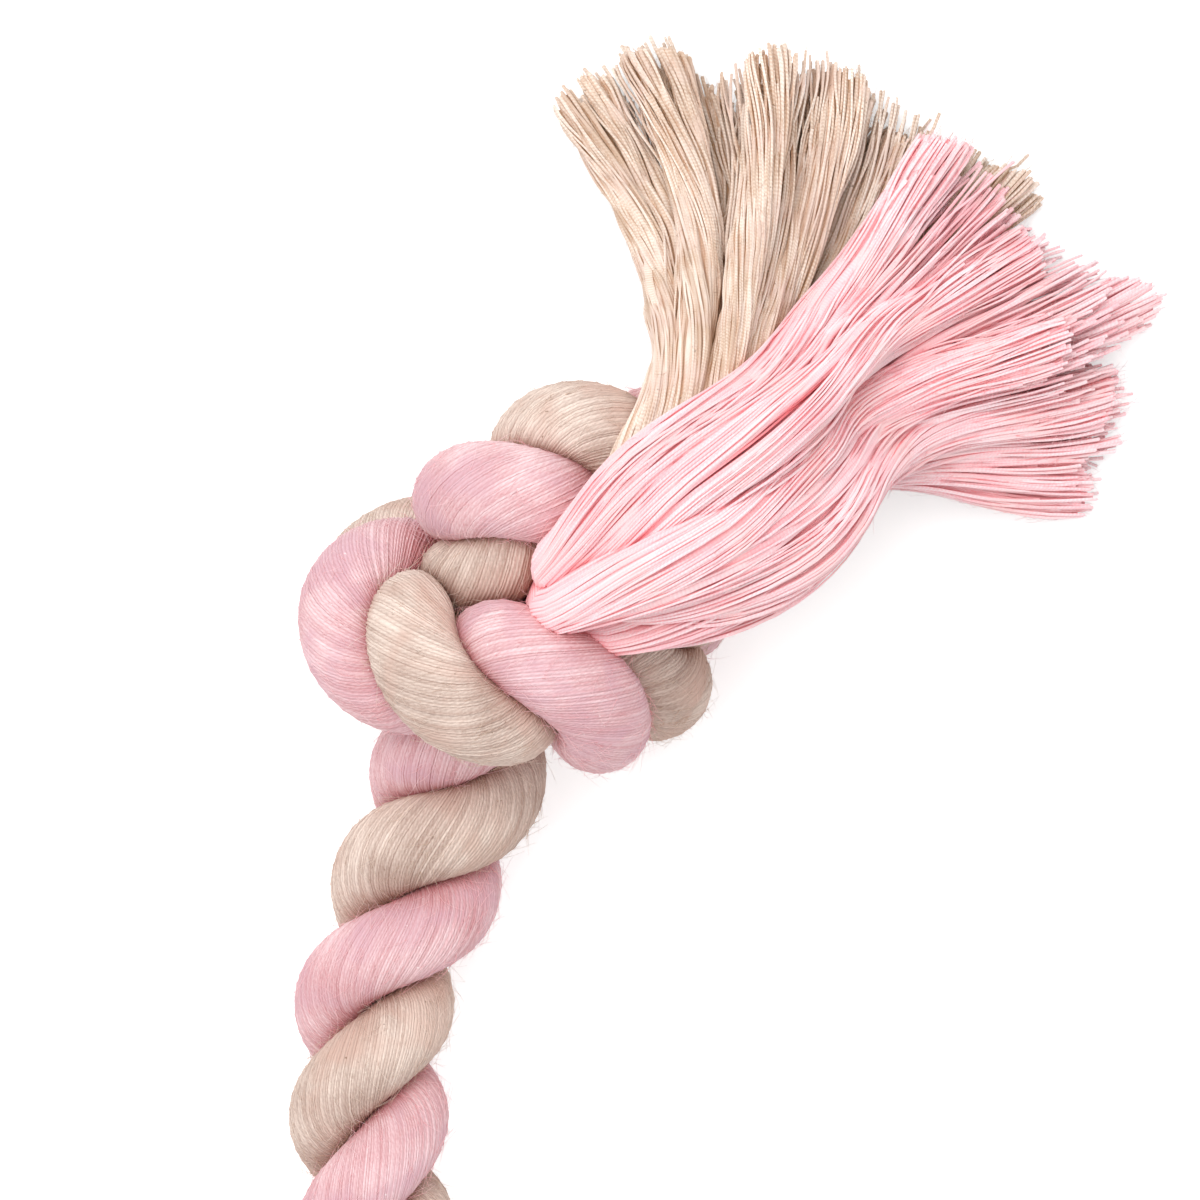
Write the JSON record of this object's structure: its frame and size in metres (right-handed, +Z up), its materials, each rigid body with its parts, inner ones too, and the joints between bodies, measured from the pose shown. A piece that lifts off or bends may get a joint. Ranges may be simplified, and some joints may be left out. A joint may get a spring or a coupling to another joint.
{
  "type": "rope dog toy",
  "caption": "Twisted cotton rope toy for a dog, lying on the floor, with an overhand knot near each end and both ends frayed out into tassels.",
  "frame": {"origin": "on the floor, straight under the middle of the rope, at the bottom centre of the toy's box", "axes": "+Z up from the floor, +Y along the rope towards the near knot, +X to the right of the rope as it is seen from above"},
  "size_m": [0.2374, 0.3908, 0.0821],
  "materials": {
    "cream_cotton": "matte twisted cotton yarn",
    "pink_cotton": "matte twisted cotton yarn"
  },
  "bodies": {
    "near_half": {"cream_strand_near": "cream_cotton", "pink_strand_near": "pink_cotton", "cream_strand_bend": "cream_cotton", "pink_strand_bend": "pink_cotton", "cream_lock_1_near": "cream_cotton", "cream_lock_2_near": "cream_cotton", "cream_lock_3_near": "cream_cotton", "cream_lock_4_near": "cream_cotton", "cream_lock_5_near": "cream_cotton", "cream_lock_6_near": "cream_cotton", "cream_lock_7_near": "cream_cotton", "pink_lock_1_near": "pink_cotton", "pink_lock_2_near": "pink_cotton", "pink_lock_3_near": "pink_cotton", "pink_lock_4_near": "pink_cotton", "pink_lock_5_near": "pink_cotton", "pink_lock_6_near": "pink_cotton"},
    "far_half": {"cream_strand_far": "cream_cotton", "pink_strand_far": "pink_cotton", "cream_lock_1_far": "cream_cotton", "cream_lock_2_far": "cream_cotton", "cream_lock_3_far": "cream_cotton", "cream_lock_4_far": "cream_cotton", "cream_lock_5_far": "cream_cotton", "cream_lock_6_far": "cream_cotton", "cream_lock_7_far": "cream_cotton", "pink_lock_1_far": "pink_cotton", "pink_lock_2_far": "pink_cotton", "pink_lock_3_far": "pink_cotton", "pink_lock_4_far": "pink_cotton", "pink_lock_5_far": "pink_cotton", "pink_lock_6_far": "pink_cotton"}
  },
  "joints": [
    {"name": "rope_bend", "type": "hinge", "parent": "near_half", "child": "far_half", "pos_m": [0, 0, 0.026], "axis": [0, 0, 1], "range_deg": [-40, 40], "deforming": ["cream_strand_bend", "pink_strand_bend"]}
  ]
}
